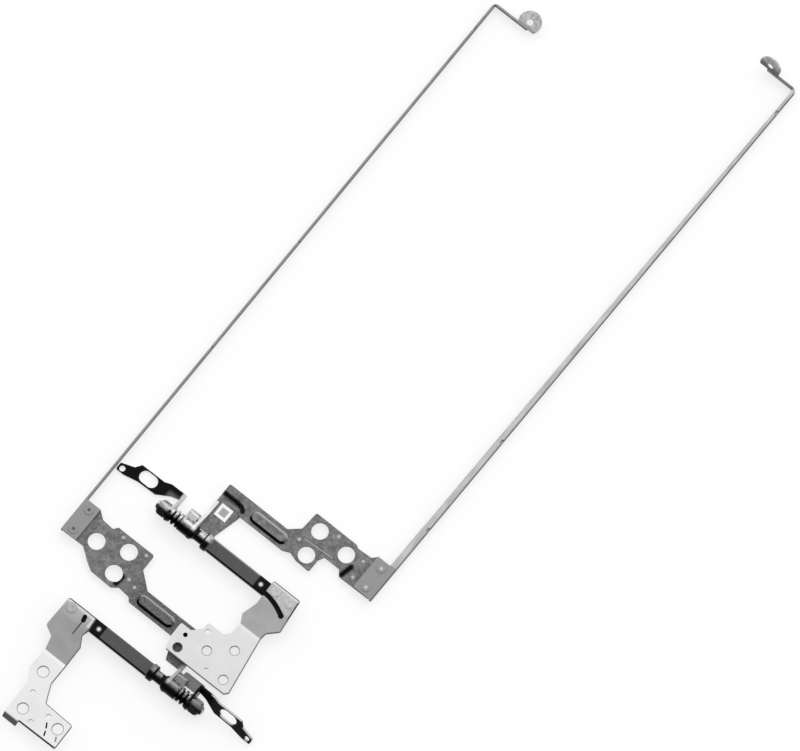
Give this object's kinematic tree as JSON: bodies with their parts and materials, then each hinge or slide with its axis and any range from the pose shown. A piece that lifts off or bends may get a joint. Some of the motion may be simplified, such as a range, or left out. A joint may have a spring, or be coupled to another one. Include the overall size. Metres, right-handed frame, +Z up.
{
  "type": "laptop hinge pair",
  "caption": "Left and right friction hinges of a laptop lid, with stamped steel brackets, open spring stacks and long screen rails, lying flat.",
  "frame": {"origin": "centre of the pair's footprint, on the table", "axes": "+Z up from the table, +Y along the screen rails towards their ends, +X along the hinge lines"},
  "size_m": [0.0928, 0.3194, 0.0074],
  "materials": {
    "bracket_steel": "satin, grained grey steel",
    "rail_steel": "satin",
    "plated_steel": "bright nickel plate",
    "arm_steel": "dark satin",
    "black_steel": "satin black",
    "stack_steel": "polished",
    "rivet_steel": "satin",
    "label_paper": "matte"
  },
  "bodies": {
    "display_sides": {"left_display_bracket": "bracket_steel", "left_lcd_rail": "rail_steel", "left_rail_rivets": "rivet_steel", "left_tail_bracket": "black_steel", "left_detent_cam": "stack_steel", "right_display_bracket": "bracket_steel", "right_lcd_rail": "rail_steel", "right_rail_rivets": "rivet_steel", "right_tail_bracket": "black_steel", "right_detent_cam": "stack_steel", "right_label": "label_paper"},
    "left_base": {"left_shaft_arm": "arm_steel", "left_base_bracket": "plated_steel", "left_arm_rivets": "rivet_steel", "left_friction_washers": "stack_steel", "left_spring_washers": "stack_steel", "left_end_washer": "stack_steel", "left_lock_nut": "stack_steel"},
    "right_base": {"right_shaft_arm": "arm_steel", "right_base_bracket": "plated_steel", "right_arm_rivets": "rivet_steel", "right_friction_washers": "stack_steel", "right_spring_washers": "stack_steel", "right_end_washer": "stack_steel", "right_lock_nut": "stack_steel"}
  },
  "joints": [
    {"name": "left_fold", "type": "hinge", "parent": "display_sides", "child": "left_base", "pos_m": [0.01363, -0.11917, 0.0032], "axis": [-1, 0, 0], "range_deg": [0, 180]},
    {"name": "right_fold", "type": "hinge", "parent": "display_sides", "child": "right_base", "pos_m": [-0.01267, -0.07557, 0.0032], "axis": [-1, 0, 0], "range_deg": [0, 180]}
  ]
}
